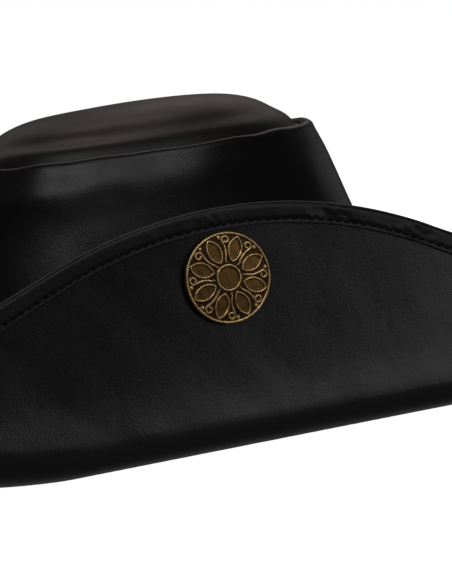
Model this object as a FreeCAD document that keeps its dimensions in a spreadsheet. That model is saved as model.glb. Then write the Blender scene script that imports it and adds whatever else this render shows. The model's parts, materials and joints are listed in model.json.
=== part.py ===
import FreeCAD, Part
import math
import os
import Sketcher
from FreeCAD import Placement, Rotation, Vector

# Leather tricorn hat. Millimetres, +Z up, front point towards -Y, wearer's left towards +X.
# The origin is the centre of the head opening, in the plane that the brim rests on.
# An angle is counted about Z from the front, growing towards the wearer's left.

DIMENSIONS = {
    # crown, measured on its grain face
    "crown_half_length": 105.0,
    "crown_half_width": 85.5,
    "tip_half_length": 73.0,
    "tip_half_width": 63.2,
    "crown_height": 103.1,
    "crown_base_lean": 0.6,
    "crown_leather": 1.6,
    "lip_radius": 2.1,
    "lip_start": 20.0,
    "seam_allowance": 6.0,
    "tip_dome": 16.1,
    "tip_dome_power": 4.7,
    # brim: a disc folded up along three chords
    "brim_leather": 2.0,
    "brim_disc_radius": 170.9,
    "brim_disc_shift": 8.3,
    "fold_angle": 62.0,
    "corner_angle": 124.0,
    "fold_distance": 91.0,
    "roll_radius": 8.0,
    "roll_turn": 98.3,
    "flap_turn": 88.8,
    "flap_settle": 80.0,
    "corner_lift": 16.8,
    "lift_start": 118.0,
    "collar_height": 12.0,
    "collar_bend": 1.4,
    "collar_gap": 0.45,
    # edge trim
    "wire_radius": 0.65,
    "wire_outset": 1.05,
    "joiner_inner_radius": 0.72,
    "joiner_outer_radius": 0.98,
    "joiner_half_angle": 2.7,
    "binding_leather": 0.9,
    "binding_gap": 0.05,
    "binding_width": 4.5,
    "binding_stitch_line": 3.0,
    # inside trim
    "sweatband_leather": 1.0,
    "sweatband_bottom": 0.6,
    "sweatband_height": 34.0,
    "sweatband_stitch_line": 5.0,
    "tab_half_angle": 3.6,
    "tab_bottom": 9.0,
    "tab_top": 31.0,
    "stay_leather": 1.2,
    "stay_half_angle": 6.5,
    "stay_bottom": 36.0,
    "back_seam_gap": 0.4,
    "back_stitch_angle": 2.0,
    "thread_width": 0.8,
    "thread_height": 0.4,
    "layer_gap": 0.1,
    # conchos
    "concho_radius": 15.8,
    "concho_rim_height": 1.9,
    "concho_floor_height": 1.3,
    "concho_crown_height": 1.9,
    "concho_relief_height": 2.5,
    "concho_ring_radius": 4.3,
    "concho_bead_width": 0.8,
    "petal_count": 8.0,
    "petal_centre": 10.2,
    "petal_half_length": 4.5,
    "petal_arc_radius": 5.2,
    "petal_inset": 0.8,
    "petal_drop": 0.3,
    "post_radius": 2.7,
    "post_length": 2.1,
    "thread_radius": 1.65,
    "thread_depth": 2.6,
    "concho_seat": 0.65,
    "post_clearance": 0.1,
    "screw_head_radius": 4.5,
    "screw_head_height": 1.2,
    "screw_bevel": 0.3,
    "screw_shank_length": 3.2,
    "screw_slot_width": 1.1,
    "screw_slot_depth": 0.6,
    "screw_clearance": 0.05,
    "side_concho_angle": 58.3,
    "concho_below_edge": 21.2,
}

# Evenly stepped spans of angle over half the hat, close together where the folds run off the brim.
ANGLE_SPANS = ((0.0, 16.0, 16), (16.0, 106.0, 30), (106.0, 142.0, 30), (142.0, 180.0, 12))
# Middle of the tip's turned edge, in and down from its corner, in lip radii.
TURN_INSET, TURN_DROP = 0.45, 0.4
MIRROR_POINT = Vector(0, 0, 0)
MIRROR_NORMAL = Vector(1, 0, 0)
DIFFERENCE_STEP = 1e-4

doc = FreeCAD.newDocument("tricorn_hat")
sheet = doc.addObject("Spreadsheet::Sheet", "Sizes")
for row, (alias, value) in enumerate(DIMENSIONS.items(), start=1):
    sheet.set("A%d" % row, str(value))
    sheet.setAlias("A%d" % row, alias)
doc.recompute()


def size(alias):
    """A driving dimension from the sheet."""
    return float(getattr(sheet, alias))


# ---------------------------------------------------------------- shape of the crown

def oval_radius(angle, half_length, half_width):
    """Distance from the crown's axis to an oval in the direction of an angle."""
    across = half_length * math.sin(angle)
    along = half_width * math.cos(angle)
    return half_length * half_width / math.hypot(across, along)


def crown_axes(height):
    """Half length and half width of the crown's grain face at a height."""
    rise = height / size("crown_height")
    lean = size("crown_base_lean")
    share = lean * rise + (1.0 - lean) * rise * rise
    half_length = size("crown_half_length")
    half_width = size("crown_half_width")
    length_inset = (half_length - size("tip_half_length")) * share
    width_inset = (half_width - size("tip_half_width")) * share
    return half_length - length_inset, half_width - width_inset


def oval_point(angle, half_length, half_width, height):
    return Vector(half_width * math.sin(angle), -half_length * math.cos(angle), height)


def crown_wall(angle, height):
    """A point of the crown's grain face."""
    half_length, half_width = crown_axes(height)
    return oval_point(angle, half_length, half_width, height)


def lip_reach():
    """How far the turned lip brings the grain face in from the crown's top edge."""
    return size("lip_radius") * (1.0 + math.cos(math.radians(size("lip_start"))))


def crown_side_face(angle, along):
    """Grain face of the crown's side: 0 to 1 up the wall, 1 to 2 round the lip, 2 to 3 down the allowance."""
    base = size("brim_leather") + 4.0 * size("layer_gap")
    top = size("crown_height")
    if along <= 1.0:
        return crown_wall(angle, base + (top - base) * along)
    start = math.radians(size("lip_start"))
    turn = start + (math.pi - start) * min(along - 1.0, 1.0)
    inset = size("lip_radius") * (math.cos(start) - math.cos(turn))
    height = top + size("lip_radius") * (math.sin(turn) - math.sin(start))
    height -= size("seam_allowance") * max(along - 2.0, 0.0)
    return oval_point(angle, size("tip_half_length") - inset, size("tip_half_width") - inset, height)


# ---------------------------------------------------------------- shape of the brim

def fold_of(angle):
    """Direction of the fold that an angle belongs to, and its chord's distance from the crown's axis."""
    fold = math.radians(size("fold_angle"))
    corner = math.radians(size("corner_angle"))
    if abs(angle) <= corner:
        return math.copysign(fold, angle), size("fold_distance")
    back_distance = size("fold_distance") * math.cos(math.pi - corner) / math.cos(corner - fold)
    return math.copysign(math.pi, angle), back_distance


def roll(beyond):
    """Outward reach and height of the leather at a length beyond the fold's chord."""
    if beyond <= 0.0:
        return beyond, 0.0
    radius = size("roll_radius")
    roll_turn = math.radians(size("roll_turn"))
    if beyond <= radius * roll_turn:
        turn = beyond / radius
        return radius * math.sin(turn), radius * (1.0 - math.cos(turn))
    settle_radius = size("flap_settle") / (roll_turn - math.radians(size("flap_turn")))
    turn = roll_turn - (beyond - radius * roll_turn) / settle_radius
    reach = radius * math.sin(roll_turn) + settle_radius * (math.sin(roll_turn) - math.sin(turn))
    height = radius * (1.0 - math.cos(roll_turn)) + settle_radius * (math.cos(turn) - math.cos(roll_turn))
    return reach, height


def brim_leaf(angle, flat_radius):
    """A point half way through the brim, from its angle and radius on the brim before it is folded."""
    direction, distance = fold_of(angle)
    along = flat_radius * math.sin(angle - direction)
    reach, height = roll(flat_radius * math.cos(angle - direction) - distance)
    outward = distance + reach
    full_lift = size("brim_disc_radius") + size("brim_disc_shift") - size("lift_start")
    lift = max(math.hypot(outward, along) - size("lift_start"), 0.0) / full_lift
    height += size("brim_leather") / 2.0 + size("corner_lift") * lift ** 1.5
    across = outward * math.sin(direction) + along * math.cos(direction)
    back = along * math.sin(direction) - outward * math.cos(direction)
    return Vector(across, back, height)


def edge_radius(angle, inset):
    """Flat radius of the line that lies inset from the brim's cut edge, a disc set a little forwards."""
    shift = size("brim_disc_shift")
    disc = size("brim_disc_radius") - inset
    return shift * math.cos(angle) + math.sqrt(disc * disc - (shift * math.sin(angle)) ** 2)


def near_edge(angle, inset):
    """A point half way through the brim, a flat distance in from its cut edge (out from it if negative)."""
    return brim_leaf(angle, edge_radius(angle, inset))


def wall_radius(angle, height):
    half_length, half_width = crown_axes(height)
    return oval_radius(angle, half_length, half_width)


def collar_radius(angle, height):
    """Radius of the middle of the collar that stands up inside the crown."""
    inset = size("crown_leather") + size("collar_gap") + size("brim_leather") / 2.0
    return wall_radius(angle, height) - inset


def brim_section(angle, along):
    """Middle of the brim: 0 to 1 down the collar, 1 to 2 round its bend, 2 to 3 out to the cut edge."""
    middle = size("brim_leather") / 2.0
    bend = size("collar_bend")
    foot = middle + bend
    foot_radius = collar_radius(angle, foot)
    if along <= 1.0:
        height = size("collar_height") + (foot - size("collar_height")) * along
        radius = collar_radius(angle, height)
    elif along <= 2.0:
        turn = (along - 1.0) * math.pi / 2.0
        radius = foot_radius + bend * (1.0 - math.cos(turn))
        height = foot - bend * math.sin(turn)
    else:
        start = foot_radius + bend
        return brim_leaf(angle, start + (edge_radius(angle, 0.0) - start) * (along - 2.0))
    return Vector(radius * math.sin(angle), -radius * math.cos(angle), height)


def sweatband_face(angle, height):
    """The side of the sweatband that faces the crown."""
    inset = size("crown_leather") + size("collar_gap") + size("brim_leather") + size("layer_gap")
    radius = wall_radius(angle, height) - inset
    return Vector(radius * math.sin(angle), -radius * math.cos(angle), height)


# ---------------------------------------------------------------- solids from those shapes

def raised(face, angle, along, lift):
    """The point at a height off a face, along its normal."""
    step = DIFFERENCE_STEP
    tangent = face(angle + step, along) - face(angle - step, along)
    rise = face(angle, along + step) - face(angle, along - step)
    normal = tangent.cross(rise)
    normal.normalize()
    return face(angle, along) + normal * lift


def spread(first, last, count):
    """count + 1 evenly stepped values."""
    return [first + (last - first) * index / count for index in range(count + 1)]


def half_turn():
    """Angles from the front to the back."""
    degrees = [ANGLE_SPANS[0][0]]
    for first, last, count in ANGLE_SPANS:
        degrees.extend(spread(first, last, count)[1:])
    return [math.radians(value) for value in degrees]


def spline_through(points, parameters):
    curve = Part.BSplineCurve()
    curve.interpolate(Points=points, Parameters=parameters)
    return curve


def section_parameters(rows):
    """Distances along the section, averaged over the angles."""
    parameters = [0.0]
    for one, other in zip(rows, rows[1:]):
        gaps = [(a - b).Length for a, b in zip(one, other)]
        parameters.append(parameters[-1] + sum(gaps) / len(gaps))
    return parameters


def strip_surface(face, angles, spots):
    """A smooth surface through the section's spots, each an (along, lift) pair, at every angle."""
    rows = [[raised(face, angle, along, lift) for angle in angles] for along, lift in spots]
    curves = [spline_through(row, angles) for row in rows]
    parameters = section_parameters(rows)
    columns = zip(*[curve.getPoles() for curve in curves])
    sections = [spline_through(list(column), parameters) for column in columns]
    around, across = curves[0], sections[0]
    surface = Part.BSplineSurface()
    surface.buildFromPolesMultsKnots(
        [section.getPoles() for section in sections],
        around.getMultiplicities(), across.getMultiplicities(),
        around.getKnots(), across.getKnots(),
        False, False, around.Degree, across.Degree)
    return surface


def end_cap(surface, facing, angle):
    """The flat end between two facing strips that run opposite ways round the section."""
    edge = surface.uIso(angle).toShape()
    other = facing.uIso(angle)
    other.reverse()
    return Part.makeRuledSurface(edge, other.toShape())


def skin_faces(face, angles, strips, capped_start=False, capped_end=False):
    surfaces = [strip_surface(face, angles, spots) for spots in strips]
    faces = [surface.toShape() for surface in surfaces]
    if capped_start:
        faces.append(end_cap(surfaces[0], surfaces[2], angles[0]))
    if capped_end:
        faces.append(end_cap(surfaces[0], surfaces[2], angles[-1]))
    return faces


def sewn(faces):
    """One solid from faces that share their borders."""
    skin = Part.makeCompound(faces)
    skin.sewShape()
    solid = Part.Solid(skin.Shells[0])
    if solid.Volume < 0:
        solid.reverse()
    return solid


def mirrored(faces):
    return [face.mirror(MIRROR_POINT, MIRROR_NORMAL) for face in faces]


def layer_strips(alongs, low, high):
    """Section of a layer between two heights off a face."""
    first, last = alongs[0], alongs[-1]
    return [
        [(along, high) for along in alongs],
        [(last, high), (last, low)],
        [(along, low) for along in reversed(alongs)],
        [(first, low), (first, high)],
    ]


def ring(face, strips):
    """A closed ring, made as two mirrored halves."""
    faces = skin_faces(face, half_turn(), strips)
    return sewn(faces + mirrored(faces))


def back_patch(face, half_angle, strips):
    """A patch across the back, to half_angle degrees on each side."""
    angles = spread(math.pi - math.radians(half_angle), math.pi, 6)
    faces = skin_faces(face, angles, strips, capped_start=True)
    return sewn(faces + mirrored(faces))


def round_strips(centre, radius):
    """Section of a round bar, as two half circles about a spot outside the cut edge."""
    halves = []
    for start in (0.0, math.pi):
        turns = spread(start, start + math.pi, 8)
        halves.append([(centre + radius * math.cos(turn), radius * math.sin(turn)) for turn in turns])
    return halves


# ---------------------------------------------------------------- document objects

def add_shape(name, shape):
    """A document object that holds a shape made by Part's functions."""
    feature = doc.addObject("Part::Feature", name)
    feature.Shape = shape
    feature.Placement = Placement()
    feature.Label = name
    return feature


def add_slit(name):
    """The narrow block that parts a ring at the back, where its two ends meet."""
    slit = doc.addObject("Part::Box", name + "_slit")
    slit.setExpression("Length", "Sizes.back_seam_gap")
    slit.setExpression("Width", "Sizes.crown_half_length")
    slit.setExpression("Height", "Sizes.crown_half_length * 2")
    slit.setExpression("Placement.Base.x", "-Sizes.back_seam_gap / 2")
    slit.setExpression("Placement.Base.y", "Sizes.tip_half_length / 2")
    slit.setExpression("Placement.Base.z", "-Sizes.collar_height")
    return slit


def add_cut(name, base, tools):
    """The base less each tool in turn."""
    result = base
    base.Label = name + "_blank"
    for index, tool in enumerate(tools):
        cut = doc.addObject("Part::Cut", "%s_cut_%d" % (name, index))
        cut.Base = result
        cut.Tool = tool
        result = cut
    result.Label = name
    return result


def add_open_ring(name, face, strips):
    return add_cut(name, add_shape(name + "_ring", ring(face, strips)), [add_slit(name)])


def thread_strips(along, width, low):
    """Section of a row of stitches, taken as one flat band."""
    return layer_strips([along - width / 2.0, along + width / 2.0], low, low + size("thread_height"))


def build_crown():
    leather = size("crown_leather")
    gap = size("layer_gap")
    alongs = spread(0.0, 1.0, 12) + spread(1.0, 2.0, 8)[1:] + spread(2.0, 3.0, 3)[1:]
    side = add_open_ring("crown_side", crown_side_face, layer_strips(alongs, -leather, 0.0))

    wall = size("crown_height")
    stay_alongs = spread(size("stay_bottom"), wall - 2.0 * size("seam_allowance"), 8)
    stay_low = -leather - gap - size("stay_leather")
    stay_strips = layer_strips(stay_alongs, stay_low, -leather - gap)
    stay = add_shape("crown_back_stay", back_patch(crown_wall, size("stay_half_angle"), stay_strips))

    stitch = math.radians(size("back_stitch_angle"))
    half_width = size("thread_width") / 2.0 / size("crown_half_length")
    angles = spread(math.pi - stitch - half_width, math.pi - stitch + half_width, 2)
    heights = spread(size("stay_bottom") / 3.0, wall - size("lip_radius"), 10)
    strips = layer_strips(heights, gap / 2.0, size("thread_height"))
    seam = sewn(skin_faces(crown_wall, angles, strips, capped_start=True, capped_end=True))
    seam_pair = Part.makeCompound([seam, seam.mirror(MIRROR_POINT, MIRROR_NORMAL)])
    seam_thread = add_shape("crown_back_seam_thread", seam_pair)

    base_line = size("collar_height") / 2.0
    base_strips = thread_strips(base_line, size("thread_width"), gap / 2.0)
    base_thread = add_shape("crown_base_thread", ring(crown_wall, base_strips))
    return [side, stay, seam_thread, base_thread]


def tip_profile(radius, leather):
    """Half section of the tip in the XZ plane: dome, turned edge and allowance, at the tip's half width."""
    edge_height = size("crown_height")
    power = size("tip_dome_power")
    shoulder = radius - size("lip_radius")
    points, inner_points = [], []
    for share in spread(0.0, 1.0, 14):
        slope = size("tip_dome") * power * share ** (power - 1.0) / shoulder
        spot = Vector(shoulder * share, 0, edge_height + size("tip_dome") * (1.0 - share ** power))
        normal = Vector(-slope, 0, -1)
        normal.normalize()
        points.append(spot)
        inner_points.append(spot + normal * leather)
    bend_top = points[-1]
    bend_foot = Vector(radius, 0, edge_height - size("lip_radius"))
    foot_height = bend_foot.z - size("seam_allowance")
    outer_foot = Vector(radius, 0, foot_height)
    inner_foot = Vector(radius - leather, 0, foot_height)
    inner_bend = Vector(radius - leather, 0, bend_foot.z)
    lip = size("lip_radius")
    bend_middle = Vector(radius - TURN_INSET * lip, 0, edge_height - TURN_DROP * lip)
    edges = [
        spline_through(points, spread(0.0, 1.0, 14)).toShape(),
        Part.Arc(bend_top, bend_middle, bend_foot).toShape(),
        Part.makeLine(bend_foot, outer_foot),
        Part.makeLine(outer_foot, inner_foot),
        Part.makeLine(inner_foot, inner_bend),
        Part.makeLine(inner_bend, inner_points[-1]),
        spline_through(list(reversed(inner_points)), spread(0.0, 1.0, 14)).toShape(),
        Part.makeLine(inner_points[0], points[0]),
    ]
    return Part.Face(Part.Wire(edges))


def build_tip():
    leather = size("crown_leather")
    gap = size("layer_gap")
    half_width = size("tip_half_width") - lip_reach() - gap
    half_length = size("tip_half_length") - lip_reach() - gap
    turned = tip_profile(half_width, leather).revolve(Vector(0, 0, 0), Vector(0, 0, 1), 360)
    stretch = FreeCAD.Matrix()
    stretch.scale(Vector(1.0, half_length / half_width, 1.0))
    tip = add_shape("crown_tip", turned.transformGeometry(stretch))

    def allowance(angle, height):
        reach = leather * half_length / half_width
        return oval_point(angle, half_length - reach, half_width - reach, height)

    foot = size("crown_height") - size("lip_radius") - size("seam_allowance")
    line = foot + size("seam_allowance") / 2.0
    low = -gap - size("thread_height")
    thread = add_shape("crown_tip_thread", ring(allowance, thread_strips(line, size("thread_width"), low)))
    return [tip, thread]


def concho_places():
    """Centre of each concho on the flap's outer side, and the direction it faces."""
    places = {}
    for name, degrees in (("left", size("side_concho_angle")), ("right", -size("side_concho_angle")),
                          ("back", 180.0)):
        angle = math.radians(degrees)
        spot = near_edge(angle, size("concho_below_edge"))
        ahead = near_edge(angle, size("concho_below_edge") - 1.0) - spot
        direction = fold_of(angle)[0]
        along = Vector(math.cos(direction), math.sin(direction), 0)
        facing = along.cross(ahead)
        facing.normalize()
        places[name] = (spot + facing * size("brim_leather") / 2.0, facing)
    return places


def add_post_hole(name, spot, facing):
    hole = doc.addObject("Part::Cylinder", "brim_hole_" + name)
    hole.setExpression("Radius", "Sizes.post_radius + Sizes.post_clearance")
    hole.setExpression("Height", "Sizes.brim_leather * 4")
    start = spot - facing * size("brim_leather") * 2.5
    hole.Placement = Placement(start, Rotation(Vector(0, 0, 1), facing))
    return hole


def build_brim(places):
    half = size("brim_leather") / 2.0
    alongs = spread(0.0, 1.0, 4) + spread(1.0, 2.0, 5)[1:] + spread(2.0, 3.0, 38)[1:]
    blank = add_shape("brim_ring", ring(brim_section, layer_strips(alongs, -half, half)))
    holes = [add_post_hole(name, spot, facing) for name, (spot, facing) in places.items()]
    return [add_cut("brim", blank, holes)]


def binding_strips():
    """U section of the binding: its outer side, one raw edge, its inner side and the other raw edge."""
    inner = size("brim_leather") / 2.0 + size("binding_gap")
    outer = inner + size("binding_leather")
    centre = -size("wire_outset")
    arms = spread(size("binding_width"), centre, 3)[:-1]
    turns = spread(math.pi / 2.0, -math.pi / 2.0, 8)
    sides = []
    for radius in (outer, inner):
        bend = [(centre - radius * math.cos(turn), radius * math.sin(turn)) for turn in turns]
        sides.append([(arm, radius) for arm in arms] + bend + [(arm, -radius) for arm in reversed(arms)])
    outside, inside = sides[0], list(reversed(sides[1]))
    return [outside, [outside[-1], inside[0]], inside, [inside[-1], outside[0]]]


def build_edge():
    binding = add_open_ring("brim_binding", near_edge, binding_strips())
    wire = add_open_ring("brim_edge_wire", near_edge,
                         round_strips(-size("wire_outset"), size("wire_radius")))
    face_height = size("brim_leather") / 2.0 + size("binding_gap") + size("binding_leather")
    line = size("binding_stitch_line")
    rows = []
    for low in (face_height + size("layer_gap") / 2.0,
                -face_height - size("layer_gap") / 2.0 - size("thread_height")):
        rows.append(ring(near_edge, thread_strips(line, size("thread_width"), low)))
    thread = add_shape("binding_thread", Part.makeCompound(rows))

    tubes = []
    for radius in (size("joiner_outer_radius"), size("joiner_inner_radius")):
        strips = round_strips(-size("wire_outset"), radius)
        angles = spread(math.pi - math.radians(size("joiner_half_angle")), math.pi, 6)
        tubes.append([strip_surface(near_edge, angles, spots) for spots in strips])
    faces = [surface.toShape() for tube in tubes for surface in tube]
    for outer, inner in zip(*tubes):
        start = math.pi - math.radians(size("joiner_half_angle"))
        faces.append(Part.makeRuledSurface(outer.uIso(start).toShape(), inner.uIso(start).toShape()))
    joiner = add_shape("wire_joiner", sewn(faces + mirrored(faces)))
    return [binding, wire, thread, joiner]


def build_sweatband():
    leather = size("sweatband_leather")
    gap = size("layer_gap")
    heights = spread(size("sweatband_bottom"), size("sweatband_height"), 6)
    band = add_open_ring("sweatband", sweatband_face, layer_strips(heights, -leather, 0.0))
    low = -leather - gap / 2.0 - size("thread_height")
    strips = thread_strips(size("sweatband_stitch_line"), size("thread_width"), low)
    thread = add_shape("sweatband_thread", ring(sweatband_face, strips))
    tab_high = -leather - gap / 2.0
    tab_strips = layer_strips(spread(size("tab_bottom"), size("tab_top"), 4), tab_high - leather, tab_high)
    tab = add_shape("sweatband_join_tab", back_patch(sweatband_face, size("tab_half_angle"), tab_strips))
    return [band, thread, tab]


# ---------------------------------------------------------------- conchos and their screws

def origin_plane(body, role):
    return next(part for part in body.Origin.OriginFeatures if part.Role == role)


def add_sketch(body, name, role):
    sketch = body.newObject("Sketcher::SketchObject", name)
    sketch.AttachmentSupport = (origin_plane(body, role), [""])
    sketch.MapMode = "FlatFace"
    return sketch


def worth(expression):
    """The number that an expression in the sheet's sizes comes to."""
    value = sheet.evalExpression(expression)
    return float(getattr(value, "Value", value))


def tie_point(sketch, line, axis, expression):
    """Ties one coordinate of a line's start to an expression in the sheet's sizes."""
    number = worth(expression)
    if abs(number) < 1e-9:
        sketch.addConstraint(Sketcher.Constraint("PointOnObject", line, 1, -2 if axis == "X" else -1))
        return
    index = sketch.addConstraint(Sketcher.Constraint("Distance" + axis, -1, 1, line, 1, number))
    sketch.setExpression("Constraints[%d]" % index, expression)


def outline_sketch(body, name, role, corners):
    """A closed outline whose corners are pairs of expressions in the sheet's sizes."""
    sketch = add_sketch(body, name, role)
    values = [Vector(worth(across), worth(up), 0) for across, up in corners]
    count = len(values)
    for index in range(count):
        sketch.addGeometry(Part.LineSegment(values[index], values[(index + 1) % count]), False)
    for index in range(count):
        sketch.addConstraint(Sketcher.Constraint("Coincident", index, 2, (index + 1) % count, 1))
    for index, (across, up) in enumerate(corners):
        tie_point(sketch, index, "X", across)
        tie_point(sketch, index, "Y", up)
    return sketch


def turn_profile(body, name, sketch):
    revolution = body.newObject("PartDesign::Revolution", name)
    revolution.Profile = sketch
    revolution.ReferenceAxis = (sketch, ["V_Axis"])
    revolution.Angle = 360.0
    doc.recompute()
    return revolution


def petal_sketch(body, name):
    """Outline of one petal between two pairs of facing arcs, its length along X."""
    sketch = add_sketch(body, name, "XY_Plane")
    centre = size("petal_centre")
    outer = size("petal_arc_radius")
    sink = math.sqrt(outer * outer - size("petal_half_length") ** 2)
    for radius in (outer, outer - size("petal_inset")):
        half = math.sqrt(radius * radius - sink * sink)
        for side in (1.0, -1.0):
            middle = Vector(centre, side * (radius - sink), 0)
            ends = [Vector(centre - half, 0, 0), Vector(centre + half, 0, 0)]
            sketch.addGeometry(Part.Arc(ends[0], middle, ends[1]), False)
        last = sketch.GeometryCount - 1
        sketch.addConstraint(Sketcher.Constraint("Coincident", last - 1, 1, last, 2))
        sketch.addConstraint(Sketcher.Constraint("Coincident", last - 1, 2, last, 1))
    return sketch


def build_concho(name, placement):
    """A domed disc with a bead round its rim, a centre ring, eight petals and a threaded post behind."""
    body = doc.addObject("PartDesign::Body", name)
    rim = "Sizes.concho_radius"
    bead = "Sizes.concho_bead_width"
    ring_radius = "Sizes.concho_ring_radius"
    bore_end = "Sizes.thread_depth - Sizes.post_length"
    profile = outline_sketch(body, name + "_profile", "XZ_Plane", [
        ("0", bore_end), ("Sizes.thread_radius", bore_end), ("Sizes.thread_radius", "-Sizes.post_length"),
        ("Sizes.post_radius", "-Sizes.post_length"), ("Sizes.post_radius", "0"),
        (rim, "0"), (rim, "Sizes.concho_rim_height"),
        (rim + " - " + bead, "Sizes.concho_rim_height"),
        (rim + " - " + bead, "Sizes.concho_floor_height"),
        (ring_radius, "Sizes.concho_crown_height"),
        (ring_radius, "Sizes.concho_relief_height"),
        (ring_radius + " - " + bead, "Sizes.concho_relief_height"),
        (ring_radius + " - " + bead, "Sizes.concho_crown_height"),
        ("0", "Sizes.concho_crown_height")])
    turn_profile(body, name + "_disc", profile)

    petal = body.newObject("PartDesign::Pad", name + "_petal")
    petal.Profile = petal_sketch(body, name + "_petal_outline")
    petal.setExpression("Length", "Sizes.concho_relief_height - Sizes.petal_drop")
    doc.recompute()
    petals = body.newObject("PartDesign::PolarPattern", name + "_petals")
    petals.Originals = [petal]
    petals.Axis = (profile, ["V_Axis"])
    petals.Angle = 360.0
    petals.setExpression("Occurrences", "Sizes.petal_count")
    body.Tip = petals
    doc.recompute()

    body.Placement = placement
    body.Label = name
    return body


def build_screw(name, placement):
    """A flat slotted head on a plain shank that enters the concho's post."""
    body = doc.addObject("PartDesign::Body", name)
    shank = "Sizes.thread_radius - Sizes.screw_clearance"
    head = "Sizes.screw_head_radius"
    profile = outline_sketch(body, name + "_profile", "XZ_Plane", [
        ("0", "0"), (head + " - Sizes.screw_bevel", "0"), (head, "Sizes.screw_bevel"),
        (head, "Sizes.screw_head_height"), (shank, "Sizes.screw_head_height"),
        (shank, "Sizes.screw_head_height + Sizes.screw_shank_length"),
        ("0", "Sizes.screw_head_height + Sizes.screw_shank_length")])
    turn_profile(body, name + "_turned", profile)
    before = body.Shape.Volume
    slot = body.newObject("PartDesign::Pocket", name + "_slot")
    slot.Profile = outline_sketch(body, name + "_slot_outline", "XY_Plane", [
        ("-" + head, "-Sizes.screw_slot_width / 2"), (head, "-Sizes.screw_slot_width / 2"),
        (head, "Sizes.screw_slot_width / 2"), ("-" + head, "Sizes.screw_slot_width / 2")])
    slot.setExpression("Length", "Sizes.screw_slot_depth")
    slot.Reversed = True
    doc.recompute()
    if body.Shape.Volume >= before - 1.0:
        raise RuntimeError(name + ": the slot cuts nothing")
    body.Placement = placement
    body.Label = name
    return body


def build_fasteners(places):
    parts = []
    for name, (spot, facing) in places.items():
        turn = Rotation(Vector(0, 0, 1), facing)
        parts.append(build_concho("concho_" + name, Placement(spot + facing * size("concho_seat"), turn)))
        head_face = size("brim_leather") + 2.0 * size("layer_gap") + size("screw_head_height")
        parts.append(build_screw("concho_screw_" + name, Placement(spot - facing * head_face, turn)))
    return parts


# ---------------------------------------------------------------- check and export

def check_document():
    doc.recompute()
    for item in doc.Objects:
        if "Invalid" in item.State or "Error" in item.State:
            raise RuntimeError("%s failed: %s" % (item.Name, item.State))


def export(parts):
    os.makedirs("parts", exist_ok=True)
    for part in parts:
        shape = part.Shape
        if shape.isNull() or not shape.isValid() or not shape.Solids:
            raise RuntimeError(part.Label + " has no valid solid")
        shape.exportStep("parts/%s.step" % part.Label)
        box = shape.BoundBox
        print("%-24s solids %d  volume %9.1f  x %7.1f %7.1f  y %7.1f %7.1f  z %6.1f %6.1f" % (
            part.Label, len(shape.Solids), shape.Volume, box.XMin, box.XMax,
            box.YMin, box.YMax, box.ZMin, box.ZMax))


places = concho_places()
subparts = build_crown() + build_tip() + build_brim(places) + build_edge()
subparts += build_sweatband() + build_fasteners(places)
check_document()
export(subparts)
for name, (spot, facing) in places.items():
    print("concho", name, [round(value, 3) for value in spot], [round(value, 5) for value in facing])
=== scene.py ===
import json
import math

import bmesh
import bpy
import numpy as np
from mathutils import Matrix, Vector

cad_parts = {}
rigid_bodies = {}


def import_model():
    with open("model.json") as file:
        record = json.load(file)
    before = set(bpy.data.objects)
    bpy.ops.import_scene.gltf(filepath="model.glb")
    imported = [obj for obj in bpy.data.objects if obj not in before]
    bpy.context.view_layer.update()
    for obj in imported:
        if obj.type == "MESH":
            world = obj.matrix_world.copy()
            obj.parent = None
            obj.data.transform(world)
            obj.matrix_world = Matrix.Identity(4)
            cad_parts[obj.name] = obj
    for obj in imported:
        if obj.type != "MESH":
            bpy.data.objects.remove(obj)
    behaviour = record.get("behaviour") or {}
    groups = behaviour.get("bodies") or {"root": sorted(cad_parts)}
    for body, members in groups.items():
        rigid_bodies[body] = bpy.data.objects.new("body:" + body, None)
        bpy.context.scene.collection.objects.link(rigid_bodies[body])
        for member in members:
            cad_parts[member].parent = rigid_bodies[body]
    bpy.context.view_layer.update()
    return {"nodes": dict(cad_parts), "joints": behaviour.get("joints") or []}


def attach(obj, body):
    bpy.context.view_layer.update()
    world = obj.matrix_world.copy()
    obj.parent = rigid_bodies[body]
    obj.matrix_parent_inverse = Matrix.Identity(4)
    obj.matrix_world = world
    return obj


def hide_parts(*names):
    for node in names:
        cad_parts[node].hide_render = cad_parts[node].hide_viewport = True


# A leather tricorn. Shapes are worked out in millimetres in the CAD model's frame, +Z up, the front point
# towards -Y and the wearer's left towards +X, and are scaled to metres when a mesh is made.
# An angle is counted about Z from the front, growing towards the wearer's left.

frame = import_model()

MM = 0.001
SEED = 20
HAT = "hat"

# crown
CROWN_HALF_LENGTH = 105.0
CROWN_HALF_WIDTH = 85.5
TIP_HALF_LENGTH = 73.0
TIP_HALF_WIDTH = 63.2
CROWN_HEIGHT = 103.1
CROWN_BASE_LEAN = 0.6
CROWN_LEATHER = 1.6
LIP_RADIUS = 2.1
LIP_START = math.radians(20.0)
SEAM_ALLOWANCE = 6.0
BACK_SEAM_HALF_GAP = 0.2 / CROWN_HALF_WIDTH
STAY_BOTTOM = 36.0
STAY_LEATHER = 1.2
STAY_HALF_ANGLE = math.radians(6.5)
TIP_DOME = 16.1
TIP_DOME_POWER = 4.7
# brim
BRIM_LEATHER = 2.0
DISC_RADIUS = 170.9
DISC_SHIFT = 8.3
FOLD_ANGLE = math.radians(62.0)
CORNER_ANGLE = math.radians(124.0)
FOLD_DISTANCE = 91.0
ROLL_RADIUS = 8.0
ROLL_TURN = math.radians(98.3)
SOFT_ROLL_RADIUS = 8.4
SOFT_FROM_EDGE, SOFT_OVER = 6.0, 20.0
FLAP_TURN = math.radians(88.8)
FLAP_SETTLE = 80.0
CORNER_LIFT = 16.8
LIFT_START = 118.0
COLLAR_HEIGHT = 12.0
COLLAR_BEND = 1.4
COLLAR_GAP = 0.45
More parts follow.
